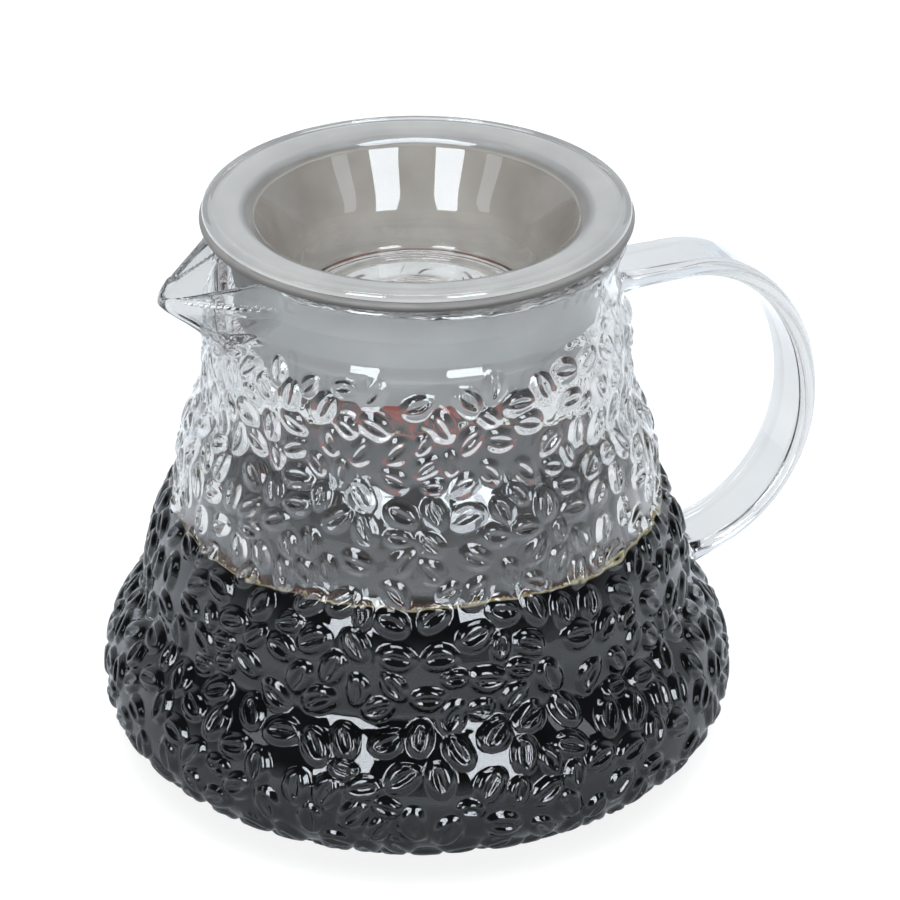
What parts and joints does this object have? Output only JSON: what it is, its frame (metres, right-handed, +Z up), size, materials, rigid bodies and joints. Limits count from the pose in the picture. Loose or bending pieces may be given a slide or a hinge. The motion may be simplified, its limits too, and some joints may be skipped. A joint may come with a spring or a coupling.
{
  "type": "coffee server carafe",
  "caption": "Tiered glass coffee server with a drawn pouring lip, a fused strap handle and a lift-off glass lid in a soft sealing sleeve.",
  "frame": {"origin": "centre of the flat foot, on the body's axis", "axes": "+Z up along the body's axis, +X towards the handle, -X towards the pouring lip"},
  "size_m": [0.1415, 0.119, 0.1103],
  "materials": {
    "body_glass": "clear glass with raised bean shapes",
    "handle_glass": "clear polished glass",
    "coffee": "dark liquid surface",
    "seal_silicone": "translucent satin grey silicone",
    "lid_glass": "clear pressed glass, slightly green at its edges"
  },
  "bodies": {
    "jug": {"carafe_body": "body_glass", "handle": "handle_glass", "coffee": "coffee"},
    "seal": {"lid_seal": "seal_silicone"},
    "lid": {"lid_glass": "lid_glass"}
  },
  "joints": [
    {"name": "lid_lift", "type": "slide", "parent": "jug", "child": "seal", "axis": [0, 0, 1], "range_m": [0, 0.045]},
    {"name": "lid_turn", "type": "hinge", "parent": "seal", "child": "lid", "pos_m": [0, 0, 0.1], "axis": [0, 0, 1], "continuous": true}
  ]
}
